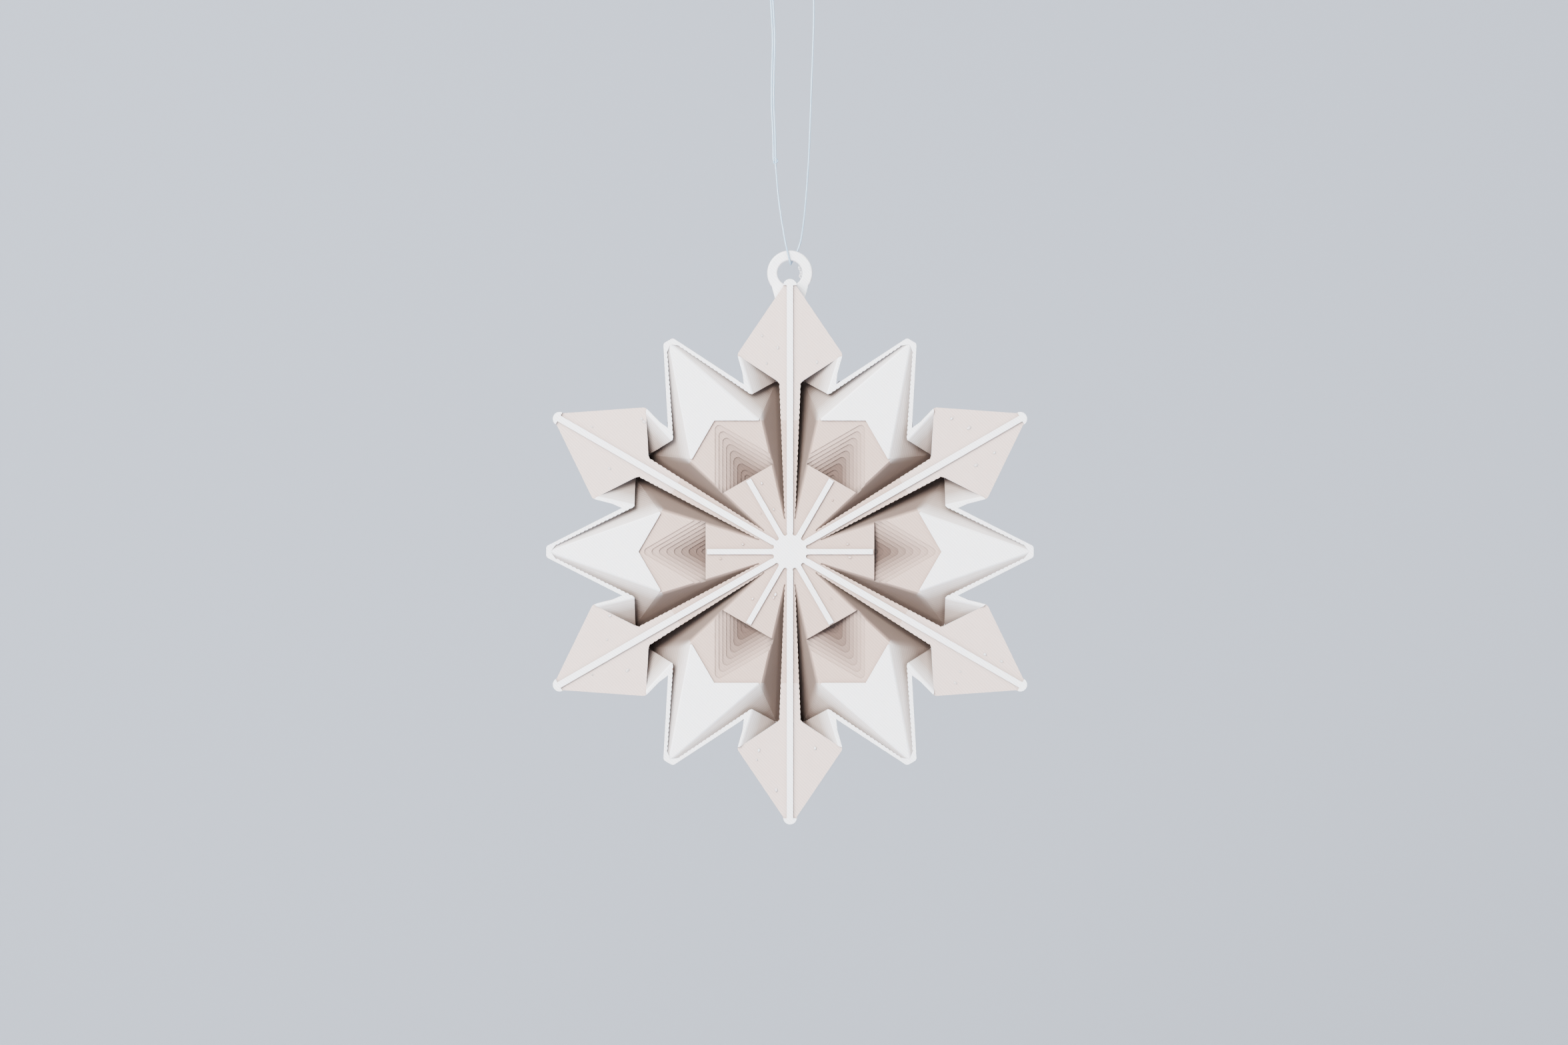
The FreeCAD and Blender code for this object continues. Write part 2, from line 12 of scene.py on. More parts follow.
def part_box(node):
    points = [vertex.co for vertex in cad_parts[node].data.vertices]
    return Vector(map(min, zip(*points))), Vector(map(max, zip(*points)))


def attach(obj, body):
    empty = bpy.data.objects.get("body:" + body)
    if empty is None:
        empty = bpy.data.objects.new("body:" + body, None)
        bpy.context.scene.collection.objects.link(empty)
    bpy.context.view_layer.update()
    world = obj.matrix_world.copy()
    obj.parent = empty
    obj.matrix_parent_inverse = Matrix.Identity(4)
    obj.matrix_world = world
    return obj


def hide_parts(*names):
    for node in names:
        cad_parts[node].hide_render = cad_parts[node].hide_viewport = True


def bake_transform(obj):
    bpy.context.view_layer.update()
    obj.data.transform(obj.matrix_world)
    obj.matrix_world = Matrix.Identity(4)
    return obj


bl_info = {
    "name": "Printed Snowflake Star",
    "version": (1, 0, 0),
    "blender": (4, 5, 0),
    "location": "3D View > Sidebar > Snowflake",
    "description": "Finishes a printed snowflake star that hangs on a loop of clear thread",
    "category": "Object",
}

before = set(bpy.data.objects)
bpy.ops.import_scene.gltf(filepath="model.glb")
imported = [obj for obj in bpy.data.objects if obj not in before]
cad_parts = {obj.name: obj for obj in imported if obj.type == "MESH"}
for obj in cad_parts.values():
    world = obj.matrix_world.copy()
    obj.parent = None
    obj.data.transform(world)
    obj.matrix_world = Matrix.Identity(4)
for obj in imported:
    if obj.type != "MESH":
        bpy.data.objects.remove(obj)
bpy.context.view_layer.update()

MM = 0.001
STAR_NODES = ("star_front_half", "star_back_half")
HALF_THICKNESS = -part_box("star_front_half")[0][1]
STAR_CENTRE = Vector((0.0, 0.0, -0.1))
EYE_CENTRE = Vector((0.0, 0.0, -0.0537))
ARM_COUNT = 6
SKIN_STEP = 0.4 * MM
EYE_HOLE = 2.08 * MM
KITE_TIP = 45.0 * MM
KITE_SIDE = (8.7 * MM, 32.6 * MM)
NOTCH = (7.6 * MM, 27.6 * MM)

# Where the star's zones end: reach from the centre, depth from the glued face, and angle.
LEVEL_FACING = 0.98
UPRIGHT_FACING = 0.1
RIM_REACH = 34.0 * MM
EYE_LEVEL = 4.5 * MM
WALL_REACH = 28.3 * MM
HEXAGON_FLAT = 21.7 * MM
GROOVE_FLOOR = 1.0 * MM
HIP_REACH = (22.0 * MM, 28.4 * MM)
HIP_ANGLE = (math.radians(13.8), math.radians(4.6))
HIP_BLEND = (math.radians(-0.8), math.radians(3.0))
KITE_REACH = 28.6 * MM
# A wave node's band repeats every pi / (10 x scale).
WAVE = math.pi / 10

# Across and up from the star's centre to the point that the camera faces.
CAMERA_OFFSET = (-0.98 * MM, 4.82 * MM)
# Place in metres, disk width in metres, power in watts.
LIGHTS = {
    "key": ((0.15, -0.75, -0.65), 0.4, 125.0),
    "fill": ((-0.4, -0.9, 0.3), 0.7, 48.0),
}

# The thread's route, from its knot down in front of the eye, through it, up behind it, over
# the hook and back down to the knot.
THREAD_ROUTE = [
    (-0.00242, -0.00035, -0.0350),
    (-0.00209, -0.00050, -0.03985),
    (-0.00154, -0.00070, -0.0440),
    (-0.00115, -0.00088, -0.0464),
    (-0.00075, -0.00110, -0.0488),
    (0.00010, -0.00110, -0.05227),
    (0.00010, 0.00110, -0.05227),
    (0.00170, 0.00110, -0.0490),
    (0.00210, 0.00088, -0.0465),
    (0.00242, 0.00070, -0.0441),
    (0.00282, 0.00050, -0.0393),
    (0.00316, 0.00035, -0.0342),
    (0.00338, 0.00020, -0.0286),
    (0.00360, 0.00010, -0.0220),
    (0.00385, 0.0, -0.0160),
    (0.00405, 0.0, -0.0086),
    (0.00350, 0.0, 0.00015),
    (-0.00320, 0.0, 0.00015),
    (-0.00280, 0.0, -0.0088),
    (-0.00246, 0.0, -0.0146),
    (-0.00265, -0.00010, -0.0202),
    (-0.00272, -0.00015, -0.0258),
    (-0.00238, -0.00025, -0.0314),
    (-0.00242, -0.00035, -0.0350),
]

# The knot's free end, lying along the left strand.
TAG_ROUTE = [
    (-0.00278, -0.00040, -0.0349),
    (-0.00276, -0.00025, -0.0314),
    (-0.00309, -0.00015, -0.0258),
    (-0.00301, -0.00010, -0.0202),
    (-0.00283, 0.0, -0.0146),
    (-0.00317, 0.0, -0.0088),
    (-0.00342, 0.0, -0.0040),
]

KNOT = Vector(THREAD_ROUTE[0])


# ------------------------------------------------------------------------------ properties

def colour(hex_value):
    """An sRGB hex colour as linear values with full alpha."""
    channels = [int(hex_value[index:index + 2], 16) / 255 for index in (1, 3, 5)]
    linear = [
        channel / 12.92 if channel <= 0.04045 else ((channel + 0.055) / 1.055) ** 2.4
        for channel in channels
    ]
    return (*linear, 1.0)


def colour_property(name, description, hex_value):
    return bpy.props.FloatVectorProperty(
        name=name, description=description, default=colour(hex_value),
        size=4, subtype="COLOR", min=0, max=1,
    )


def length_property(name, description, millimetres):
    return bpy.props.FloatProperty(
        name=name, description=description, default=millimetres * MM, unit="LENGTH", precision=5,
    )


class SnowflakePrint(bpy.types.PropertyGroup):
    """The printed plastic's white, the painted shade drawn on its lower faces, and the printer's line
    sizes.
    """

    raised: colour_property("Raised faces", "Veins, arrowheads, lips and hub", "#FCFAFC")
    # Painted shade: the kites' level faces, drawn darker than the raised white of the same plastic.
    field: colour_property("Kites", "The kites' level faces, one step down", "#D9C2B8")
    # Painted shade: the hexagon's level face, drawn darker than the raised white; the pits' painted
    # shade starts from it.
    hexagon: colour_property("Hexagon", "The hexagon's level face, one step down", "#C6AA9C")
    # Painted shade: the pits' deepest step, drawn darkest of the pits.
    painted_pit_shade: colour_property("Pits", "Deepest step of the pits", "#5E463A")
    # Painted shade: the arrowheads' upper sides, drawn darker than the raised white.
    painted_flank_shade: colour_property("Flanks", "Upper part of the arrowheads' sides", "#D9D0CD")
    # Painted shade: the lower sides and the facets under the kites, drawn darker still.
    painted_facet_shade: colour_property("Facets", "Lower sides, and the facets under the kites", "#A39389")
    # Painted shade: the walls and floor beside the ribs, drawn darkest.
    groove: colour_property("Grooves", "Walls and floor beside the ribs", "#6F5E55")
    line_pitch: length_property("Line pitch", "Width of one printed line", 0.4)
    layer_height: length_property("Layer height", "Height of one printed layer", 0.2)
    line_angle: bpy.props.FloatProperty(
        name="Line angle", description="Direction of the infill lines, from +X",
        default=math.radians(135.5), subtype="ANGLE",
    )


class SnowflakeThread(bpy.types.PropertyGroup):
    """The hanging thread."""

    diameter: length_property("Diameter", "Nylon thread", 0.3)
    # The thread's base colour: a pale blue.
    tint: colour_property("Tint", "The clear nylon's own tint", "#A9D2EE")


class SnowflakeStudio(bpy.types.PropertyGroup):
    """Floor and camera."""

    floor: colour_property("Floor", "Pale seamless paper", "#C3CAD6")
    view_width: length_property("View width", "Width seen at the star's front plane", 258.7)
    lens: bpy.props.FloatProperty(name="Lens", description="Focal length in mm", default=100.0)


# --------------------------------------------------------------------------- node building

def add_node(tree, kind, settings=None, links=None):
    """Add a node, set its options or input values by name, and link sockets to its inputs."""
    node = tree.nodes.new(kind)
    for name, value in (settings or {}).items():
        if isinstance(name, int) or name in node.inputs:
            node.inputs[name].default_value = value
        else:
            setattr(node, name, value)
    for name, socket in (links or {}).items():
        tree.links.new(socket, node.inputs[name])
    return node


def new_material(name):
    material = bpy.data.materials.new(name)
    material.use_nodes = True
    shader = material.node_tree.nodes["Principled BSDF"]
    return material, material.node_tree, shader


def printed_pla(options):
    """PLA, printed: matt lines side by side, layers stacked in steps, and warm painted shade on its
    lower faces, strongest where they are enclosed.
    """
    material, tree, shader = new_material("PLA, printed")
    place = add_node(tree, "ShaderNodeTexCoord").outputs
    axes = add_node(tree, "ShaderNodeSeparateXYZ", links={0: place["Object"]}).outputs
    facing = add_node(tree, "ShaderNodeSeparateXYZ", links={0: place["Normal"]}).outputs
    outward = add_node(tree, "ShaderNodeMath", {"operation": "ABSOLUTE"}, {0: facing[1]})
    inside = add_node(tree, "ShaderNodeMath", {"operation": "ABSOLUTE"}, {0: axes[1]}).outputs[0]

    # Where a point lies in the star: its reach from the centre, and its angle off an arm.
    flat = add_node(
        tree, "ShaderNodeVectorMath", {"operation": "MULTIPLY", 1: (1, 0, 1)},
        {0: place["Object"]},
    ).outputs[0]
    reach = add_node(
        tree, "ShaderNodeVectorMath", {"operation": "DISTANCE", 1: STAR_CENTRE}, {0: flat},
    ).outputs["Value"]
    upward = add_node(
        tree, "ShaderNodeMath", {"operation": "SUBTRACT", 1: STAR_CENTRE.z}, {0: axes[2]},
    ).outputs[0]
    around = add_node(
        tree, "ShaderNodeMath", {"operation": "ARCTAN2"}, {0: axes[0], 1: upward},
    ).outputs[0]
    off_arm = add_node(
        tree, "ShaderNodeMath", {"operation": "PINGPONG", 1: math.pi / ARM_COUNT}, {0: around},
    ).outputs[0]
    turned_in = add_node(
        tree, "ShaderNodeMath", {"operation": "COSINE"}, {0: off_arm},
    ).outputs[0]
    along_arm = add_node(
        tree, "ShaderNodeMath", {"operation": "MULTIPLY"}, {0: reach, 1: turned_in},
    ).outputs[0]

    # Level faces at the front plane, the rim's walls and the eye are as white as the plastic.
    level = add_node(
        tree, "ShaderNodeMath", {"operation": "GREATER_THAN", 1: LEVEL_FACING}, {0: outward.outputs[0]},
    ).outputs[0]
    top = add_node(
        tree, "ShaderNodeMath", {"operation": "GREATER_THAN", 1: HALF_THICKNESS - SKIN_STEP / 2},
        {0: inside},
    ).outputs[0]
    rim = add_node(
        tree, "ShaderNodeMath", {"operation": "GREATER_THAN", 1: RIM_REACH}, {0: reach},
    ).outputs[0]
    below = add_node(
        tree, "ShaderNodeMath", {"operation": "LESS_THAN", 1: EYE_LEVEL}, {0: inside},
    ).outputs[0]
    edge = add_node(
        tree, "ShaderNodeMath", {"operation": "MULTIPLY"}, {0: rim, 1: below},
    ).outputs[0]
    upright = add_node(
        tree, "ShaderNodeMath", {"operation": "LESS_THAN", 1: UPRIGHT_FACING}, {0: outward.outputs[0]},
    ).outputs[0]
    past_grooves = add_node(
        tree, "ShaderNodeMath", {"operation": "GREATER_THAN", 1: WALL_REACH}, {0: reach},
    ).outputs[0]
    wall = add_node(
        tree, "ShaderNodeMath", {"operation": "MULTIPLY"}, {0: upright, 1: past_grooves},
    ).outputs[0]
    white = add_node(
        tree, "ShaderNodeMath", {"operation": "MAXIMUM"}, {0: top, 1: edge},
    ).outputs[0]
    white = add_node(
        tree, "ShaderNodeMath", {"operation": "MAXIMUM"}, {0: white, 1: wall},
    ).outputs[0]

    # Painted shade on pits and flanks grows warmer and darker with depth, sooner in pits as they are
    # closed all round.
    depth = add_node(
        tree, "ShaderNodeMapRange",
        {"From Min": HALF_THICKNESS - SKIN_STEP, "From Max": GROOVE_FLOOR}, {0: inside},
    ).outputs[0]
    painted_pit_shade = add_node(tree, "ShaderNodeValToRGB", links={0: depth}).outputs[0]
    stops = painted_pit_shade.node.color_ramp.elements
    stops[0].color = options.hexagon
    stops[1].color = options.painted_pit_shade
    stops[1].position = 0.3
    painted_flank_shade = add_node(tree, "ShaderNodeValToRGB", links={0: depth}).outputs[0]
    stops = painted_flank_shade.node.color_ramp.elements
    stops[0].color = options.painted_flank_shade
    stops[1].color = options.groove
    stops[1].position = 0.6
    stops.new(0.22).color = options.painted_facet_shade
    outside = add_node(
        tree, "ShaderNodeMath", {"operation": "GREATER_THAN", 1: HEXAGON_FLAT}, {0: along_arm},
    ).outputs[0]
    kite = add_node(
        tree, "ShaderNodeMath", {"operation": "MULTIPLY"}, {0: outside, 1: level},
    ).outputs[0]
    # Painted shade: the pits' ramp inside the hexagon, the flanks' ramp beyond it.
    slopes = add_node(
        tree, "ShaderNodeMix", {"data_type": "RGBA"}, {0: outside, 6: painted_pit_shade, 7: painted_flank_shade},
    ).outputs[2]
    # Painted shade on the kites' level faces.
    slopes = add_node(
        tree, "ShaderNodeMix", {"data_type": "RGBA", 7: options.field}, {0: kite, 6: slopes},
    ).outputs[2]

    # The grooves beside a rib get the darkest painted shade.  Their outer edge runs 14 degrees off
    # the arm as far as the hexagon, then turns in along the hip to the kite's root.
    hip = add_node(
        tree, "ShaderNodeMapRange",
        {"From Min": HIP_REACH[0], "From Max": HIP_REACH[1],
         "To Min": HIP_ANGLE[0], "To Max": HIP_ANGLE[1]}, {0: reach},
    ).outputs[0]
    past_hip = add_node(
        tree, "ShaderNodeMath", {"operation": "SUBTRACT"}, {0: hip, 1: off_arm},
    ).outputs[0]
    beside_rib = add_node(
        tree, "ShaderNodeMapRange",
        {"From Min": HIP_BLEND[0], "From Max": HIP_BLEND[1]}, {0: past_hip},
    ).outputs[0]
    before_kite = add_node(
        tree, "ShaderNodeMath", {"operation": "LESS_THAN", 1: KITE_REACH}, {0: reach},
    ).outputs[0]
    below_skin = add_node(
        tree, "ShaderNodeMapRange", {"From Min": 0.0, "From Max": 0.12}, {0: depth},
    ).outputs[0]
    before_kite = add_node(
        tree, "ShaderNodeMath", {"operation": "MULTIPLY"}, {0: before_kite, 1: below_skin},
    ).outputs[0]
    in_groove = add_node(
        tree, "ShaderNodeMath", {"operation": "MULTIPLY"}, {0: beside_rib, 1: before_kite},
    ).outputs[0]
    # Painted shade: the grooves take the darkest colour.
    shaded = add_node(
        tree, "ShaderNodeMix", {"data_type": "RGBA", 7: options.groove},
        {0: in_groove, 6: slopes},
    ).outputs[2]
    plain = add_node(
        tree, "ShaderNodeMix", {"data_type": "RGBA", 7: options.raised}, {0: white, 6: shaded},
    ).outputs[2]

    # Infill lines run one way across every level face, and layers show on all the others.
    turned = add_node(
        tree, "ShaderNodeMapping", {"Rotation": (0, options.line_angle - math.pi / 2, 0)},
        {"Vector": place["Object"]},
    ).outputs[0]
    lines = add_node(
        tree, "ShaderNodeTexWave",
        {"bands_direction": "X", "Scale": WAVE / options.line_pitch},
        {"Vector": turned},
    ).outputs["Fac"]
    layers = add_node(
        tree, "ShaderNodeTexWave",
        {"bands_direction": "Y", "Scale": WAVE / options.layer_height},
        {"Vector": place["Object"]},
    ).outputs["Fac"]
    ridges = add_node(
        tree, "ShaderNodeMix", {"data_type": "FLOAT"}, {0: level, 2: layers, 3: lines},
    ).outputs[0]
    # Unevenness of the flow, a few lines wide.
    flow = add_node(
        tree, "ShaderNodeTexNoise", {"Scale": 400.0, "Detail": 3.0, "Roughness": 0.6},
        {"Vector": place["Object"]},
    ).outputs[0]
    uneven = add_node(
        tree, "ShaderNodeMix", {"data_type": "FLOAT", 0: 0.35}, {2: ridges, 3: flow},
    ).outputs[0]
    tone = add_node(
        tree, "ShaderNodeMapRange", {"To Min": 0.86, "To Max": 1.06}, {0: uneven},
    ).outputs[0]
    toned = add_node(
        tree, "ShaderNodeMix", {"data_type": "RGBA", "blend_type": "MULTIPLY", 0: 1.0},
        {6: plain, 7: tone},
    ).outputs[2]
    # The foot of every step and vein keeps a thin line of shadow.
    open_share = add_node(
        tree, "ShaderNodeAmbientOcclusion", {"samples": 6, "Distance": 0.9 * MM},
    ).outputs["AO"]
    line = add_node(
        tree, "ShaderNodeMapRange", {"From Min": 0.45, "From Max": 0.95, "To Min": 0.68},
        {0: open_share},
    ).outputs[0]
    base = add_node(
        tree, "ShaderNodeMix", {"data_type": "RGBA", "blend_type": "MULTIPLY", 0: 1.0},
        {6: toned, 7: line},
    ).outputs[2]
    tree.links.new(base, shader.inputs["Base Color"])

    bump = add_node(
        tree, "ShaderNodeBump", {"Strength": 0.8, "Distance": 0.04 * MM}, {"Height": uneven},
    )
    tree.links.new(bump.outputs[0], shader.inputs["Normal"])
    shader.inputs["Roughness"].default_value = 0.5
    shader.inputs["IOR"].default_value = 1.46
    shader.inputs["Subsurface Weight"].default_value = 0.2
    shader.inputs["Subsurface Radius"].default_value = (1.0, 0.75, 0.6)
    shader.inputs["Subsurface Scale"].default_value = 0.6 * MM
    return material


def nylon_monofilament(options):
    """Nylon monofilament, drawn: smooth and clear, with a pale blue base colour, paler in small
    patches.
    """
    material, tree, shader = new_material("nylon monofilament, drawn")
    place = add_node(tree, "ShaderNodeTexCoord")
    cloud = add_node(
        tree, "ShaderNodeTexNoise", {"Scale": 900.0, "Detail": 2.0},
        {"Vector": place.outputs["Object"]},
    ).outputs[0]
    pale = [channel + 0.35 * (1 - channel) for channel in options.tint[:3]] + [1.0]
    tint = add_node(
        tree, "ShaderNodeMix", {"data_type": "RGBA", 6: options.tint, 7: pale}, {0: cloud},
    ).outputs[2]
    tree.links.new(tint, shader.inputs["Base Color"])
    shader.inputs["Roughness"].default_value = 0.12
    shader.inputs["IOR"].default_value = 1.53
    shader.inputs["Transmission Weight"].default_value = 0.35
    return material


# ---------------------------------------------------------------------------- mesh building

def link(obj):
    bpy.context.scene.collection.objects.link(obj)
    return obj


def nurbs_curve(name, routes, cyclic=False):
    data = bpy.data.curves.new(name, "CURVE")
    data.dimensions = "3D"
    for route in routes:
        spline = data.splines.new("NURBS")
        spline.points.add(len(route) - 1)
        for control, point in zip(spline.points, route):
            control.co = (*point, 1.0)
        spline.use_cyclic_u = cyclic
        spline.use_endpoint_u = not cyclic
        spline.order_u = 3
    data.resolution_u = 12
    return data


def swept(name, points, radius, cyclic=False):
    """A round tube along a smooth curve, and the points down its middle."""
    holder = bpy.data.objects.new(f"{name}_route", nurbs_curve(name, [points], cyclic))
    line = bpy.data.meshes.new_from_object(holder)
    middle = [tuple(vertex.co) for vertex in line.vertices]
    bpy.data.meshes.remove(line)
    holder.data.bevel_depth = radius
    holder.data.bevel_resolution = 3
    holder.data.use_fill_caps = not cyclic
    mesh = bpy.data.meshes.new_from_object(holder)
    mesh.name = name
    data = holder.data
    bpy.data.objects.remove(holder)
    bpy.data.curves.remove(data)
    for polygon in mesh.polygons:
        polygon.use_smooth = True
    return link(bpy.data.objects.new(name, mesh)), middle


# -------------------------------------------------------------------------------- operators

class SNOWFLAKE_OT_camera(bpy.types.Operator):
    """Place the camera square on to the star's front"""

    bl_idname = "snowflake.camera"
    bl_label = "Camera"

    def execute(self, context):
        studio = context.scene.snowflake_studio
        data = bpy.data.cameras.new("camera")
        data.lens = studio.lens
        data.sensor_width = 36.0
        data.clip_start = 0.01
        camera = link(bpy.data.objects.new("camera", data))
        distance = studio.view_width * data.lens / data.sensor_width
        camera.location = STAR_CENTRE + Vector((
            CAMERA_OFFSET[0], -HALF_THICKNESS - distance, CAMERA_OFFSET[1],
        ))
        camera.rotation_euler = (math.radians(90), 0, 0)
        context.scene.camera = camera
        return {"FINISHED"}


class SNOWFLAKE_OT_thread(bpy.types.Operator):
    """Hang the loop of clear thread, with its knot and free end"""

    bl_idname = "snowflake.thread"
    bl_label = "Thread"

    def execute(self, context):
        options = context.scene.snowflake_thread
        nylon = nylon_monofilament(options)
        radius = options.diameter / 2
        loop, loop_line = swept("nylon_loop", THREAD_ROUTE, radius)
        tag, tag_line = swept("nylon_tag_end", TAG_ROUTE, radius)
        knot = self.make_knot(radius)
        for piece, nodes in (
            (loop, ("thread_loop", "thread_eye_bight")),
            (tag, ("thread_tag_end",)),
            (knot, ("thread_knot",)),
        ):
            piece.data.materials.append(nylon)
            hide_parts(*nodes)
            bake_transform(piece)
        return {"FINISHED"}

    def make_knot(self, radius):
        """An overhand knot, pulled tight and slightly longer than wide."""
        lobes = 3
        steps = 24
        points = []
        for step in range(steps):
            angle = 2 * math.pi * step / steps
            spread = (1.0 + 0.45 * math.cos(lobes * angle)) * 0.27 * MM
            points.append(KNOT + Vector((
                spread * math.cos(2 * angle),
                0.2 * MM * math.sin(lobes * angle),
                1.35 * spread * math.sin(2 * angle),
            )))
        knot, _ = swept("nylon_knot", points, radius * 0.85, cyclic=True)
        return knot


class SNOWFLAKE_OT_star(bpy.types.Operator):
    """Give the two printed halves their finish"""

    bl_idname = "snowflake.star"
    bl_label = "Star"

    def execute(self, context):
        pla = printed_pla(context.scene.snowflake_print)
        for name in STAR_NODES:
            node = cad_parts[name]
            node.data.materials.clear()
            node.data.materials.append(pla)
        return {"FINISHED"}


class SNOWFLAKE_OT_blemishes(bpy.types.Operator):
    """Add the print's small blobs, and the fine hairs at its notches and in its eye"""

    bl_idname = "snowflake.blemishes"
    bl_label = "Blobs and hairs"

    def execute(self, context):
        pla = printed_pla(context.scene.snowflake_print)
        chance = random.Random(7)
        pieces = [
            self.make_blobs(chance),
            self.make_hairs("notch_hairs", self.notch_hairs(chance)),
            self.make_hairs("eye_strings", self.eye_strings(chance)),
        ]
        for piece in pieces:
            piece.data.materials.append(pla)
            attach(piece, "star")
        return {"FINISHED"}

    def make_blobs(self, chance):
        """Low domes on the kites and the hexagon, on both faces, slightly longer one way."""
        shape = bmesh.new()
        for arm in range(ARM_COUNT):
            for facing in (-1, 1):
                level = facing * (HALF_THICKNESS - SKIN_STEP)
                spots = [self.kite_spot(chance) for _ in range(4)]
                spots += [self.hexagon_spot(chance) for _ in range(2)]
                for reach, angle in spots:
                    turn = 2 * math.pi * arm / ARM_COUNT + angle
                    wide = chance.uniform(0.12, 0.28) * MM
                    tall = chance.uniform(0.15, 0.3) * MM
                    place = Matrix.Translation(STAR_CENTRE) @ Matrix.Rotation(turn, 4, "Y")
                    place = place @ Matrix.Translation((0, level, reach))
                    place = place @ Matrix.Diagonal((wide, tall, wide * 1.5, 1.0))
                    bmesh.ops.create_icosphere(shape, subdivisions=2, radius=1.0, matrix=place)
        mesh = bpy.data.meshes.new("print_blobs")
        shape.to_mesh(mesh)
        shape.free()
        for polygon in mesh.polygons:
            polygon.use_smooth = True
        return link(bpy.data.objects.new("print_blobs", mesh))

    def kite_spot(self, chance):
        """Reach and angle of a spot on a kite, clear of its vein and its edges."""
        reach = chance.uniform(31.0, 39.5) * MM
        half_width = KITE_SIDE[0] * (KITE_TIP - reach) / (KITE_TIP - KITE_SIDE[1])
        across = chance.uniform(1.2 * MM, min(half_width, KITE_SIDE[0]) - 1.4 * MM)
        return reach, chance.choice((-1, 1)) * across / reach

    def hexagon_spot(self, chance):
        """Reach and angle of a spot on the small hexagon, between a groove and a short vein."""
        side = chance.choice((-1, 1))
        return chance.uniform(7.0, 12.5) * MM, side * math.radians(chance.uniform(18.0, 25.0))

    def make_hairs(self, name, routes):
        """Fine strings of plastic, joined in one mesh."""
        data = nurbs_curve(name, routes)
        data.bevel_depth = 0.07 * MM
        data.bevel_resolution = 1
        data.use_fill_caps = True
        holder = bpy.data.objects.new(name, data)
        mesh = bpy.data.meshes.new_from_object(holder)
        mesh.name = name
        bpy.data.objects.remove(holder)
        bpy.data.curves.remove(data)
        return link(bpy.data.objects.new(name, mesh))

    def notch_hairs(self, chance):
        """One or two short hairs in each notch, near the glued faces."""
        routes = []
        for arm in range(ARM_COUNT):
            turn = Matrix.Rotation(2 * math.pi * arm / ARM_COUNT, 3, "Y")
            for side in (-1, 1):
                for _ in range(chance.choice((1, 2))):
                    root = Vector((side * NOTCH[0], chance.uniform(-4.5, 4.5) * MM, NOTCH[1]))
                    route = []
                    for step in range(4):
                        drift = Vector((
                            side * (0.35 * step - 0.2) * MM + chance.uniform(-0.2, 0.2) * MM,
                            chance.uniform(-0.2, 0.2) * MM,
                            (0.3 * step - 0.2) * MM + chance.uniform(-0.15, 0.15) * MM,
                        ))
                        route.append(STAR_CENTRE + turn @ (root + drift))
                    routes.append(route)
        return routes

    def eye_strings(self, chance):
        """A tuft of loops that stands into the eye's hole from its right side."""
        routes = []
        for index in range(8):
            angle = math.radians(-25 + 7 * index)
            route = []
            for step in range(5):
                inward = (0.1 - 0.6 * math.sin(math.pi * step / 4)) * MM
                inward = inward * chance.uniform(0.7, 1.2)
                spread = angle + math.radians(4 * step)
                reach = EYE_HOLE + inward
                route.append(EYE_CENTRE + Vector((
                    reach * math.cos(spread),
                    chance.uniform(-0.35, 0.35) * MM,
                    reach * math.sin(spread),
                )))
            routes.append(route)
        return routes


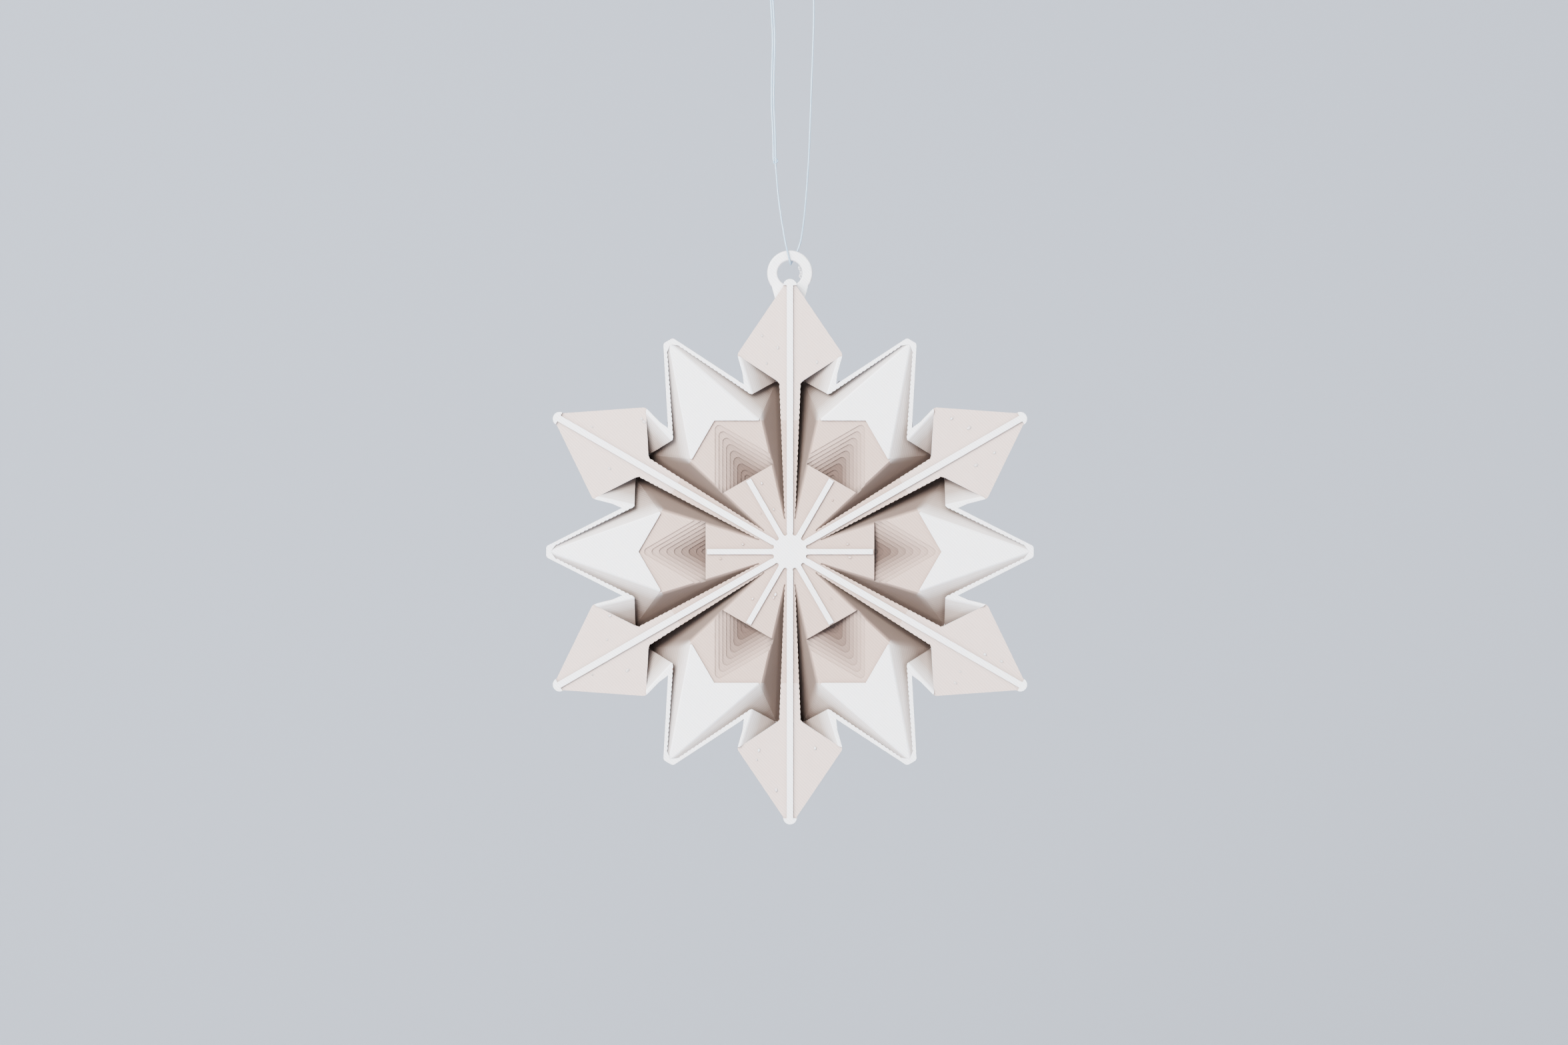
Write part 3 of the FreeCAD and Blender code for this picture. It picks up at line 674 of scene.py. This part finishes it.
class SNOWFLAKE_OT_stage(bpy.types.Operator):
    """Set up the pale floor and the soft lights"""

    bl_idname = "snowflake.stage"
    bl_label = "Studio"

    def execute(self, context):
        studio = context.scene.snowflake_studio
        self.make_floor(studio)
        for name, (place, width, power) in LIGHTS.items():
            self.make_light(name, place, width, power)
        world = bpy.data.worlds.new("studio")
        world.use_nodes = True
        background = world.node_tree.nodes["Background"]
        background.inputs["Color"].default_value = colour("#E9EDF4")
        background.inputs["Strength"].default_value = 0.7
        context.scene.world = world
        return {"FINISHED"}

    def make_floor(self, studio):
        """A sheet of paper that lies flat and sweeps up behind the star."""
        half_width = 1.5
        low = STAR_CENTRE.z - 0.25
        back = 0.9
        bend = 0.4
        profile = [(-1.5, low), (back - bend, low)]
        steps = 12
        for step in range(1, steps + 1):
            angle = math.pi / 2 * step / steps
            profile.append((back - bend + bend * math.sin(angle), low + bend * (1 - math.cos(angle))))
        profile.append((back, low + 1.6))
        shape = bmesh.new()
        rows = [[shape.verts.new((side * half_width, y, z)) for side in (-1, 1)] for y, z in profile]
        for before, after in zip(rows, rows[1:]):
            shape.faces.new((before[0], before[1], after[1], after[0]))
        mesh = bpy.data.meshes.new("paper_sweep")
        shape.to_mesh(mesh)
        shape.free()
        for polygon in mesh.polygons:
            polygon.use_smooth = True
        paper, tree, shader = new_material("paper, pressed")
        shader.inputs["Base Color"].default_value = studio.floor
        shader.inputs["Roughness"].default_value = 0.85
        mesh.materials.append(paper)
        link(bpy.data.objects.new("paper_sweep", mesh))

    def make_light(self, name, place, width, power):
        data = bpy.data.lights.new(name, "AREA")
        data.shape = "DISK"
        data.size = width
        data.energy = power
        light = link(bpy.data.objects.new(name, data))
        light.location = place
        light.rotation_euler = (STAR_CENTRE - light.location).to_track_quat("-Z", "Y").to_euler()


class SNOWFLAKE_PT_panel(bpy.types.Panel):
    """The star's pieces, sizes and colours"""

    bl_idname = "SNOWFLAKE_PT_panel"
    bl_label = "Snowflake Star"
    bl_space_type = "VIEW_3D"
    bl_region_type = "UI"
    bl_category = "Snowflake"

    def draw(self, context):
        scene = context.scene
        for operator in OPERATORS:
            self.layout.operator(operator.bl_idname)
        for group in (scene.snowflake_print, scene.snowflake_thread, scene.snowflake_studio):
            box = self.layout.box()
            for name in group.__annotations__:
                box.prop(group, name)


GROUPS = {
    "snowflake_print": SnowflakePrint,
    "snowflake_thread": SnowflakeThread,
    "snowflake_studio": SnowflakeStudio,
}
OPERATORS = (
    SNOWFLAKE_OT_camera,
    SNOWFLAKE_OT_thread,
    SNOWFLAKE_OT_star,
    SNOWFLAKE_OT_blemishes,
    SNOWFLAKE_OT_stage,
)
CLASSES = (*GROUPS.values(), *OPERATORS, SNOWFLAKE_PT_panel)


def register():
    for item in CLASSES:
        bpy.utils.register_class(item)
    for name, group in GROUPS.items():
        setattr(bpy.types.Scene, name, bpy.props.PointerProperty(type=group))


def unregister():
    for name in GROUPS:
        delattr(bpy.types.Scene, name)
    for item in reversed(CLASSES):
        bpy.utils.unregister_class(item)


def main():
    register()
    bpy.ops.snowflake.camera()
    bpy.ops.snowflake.thread()
    bpy.ops.snowflake.star()
    bpy.ops.snowflake.blemishes()
    bpy.ops.snowflake.stage()


if __name__ == "__main__":
    main()
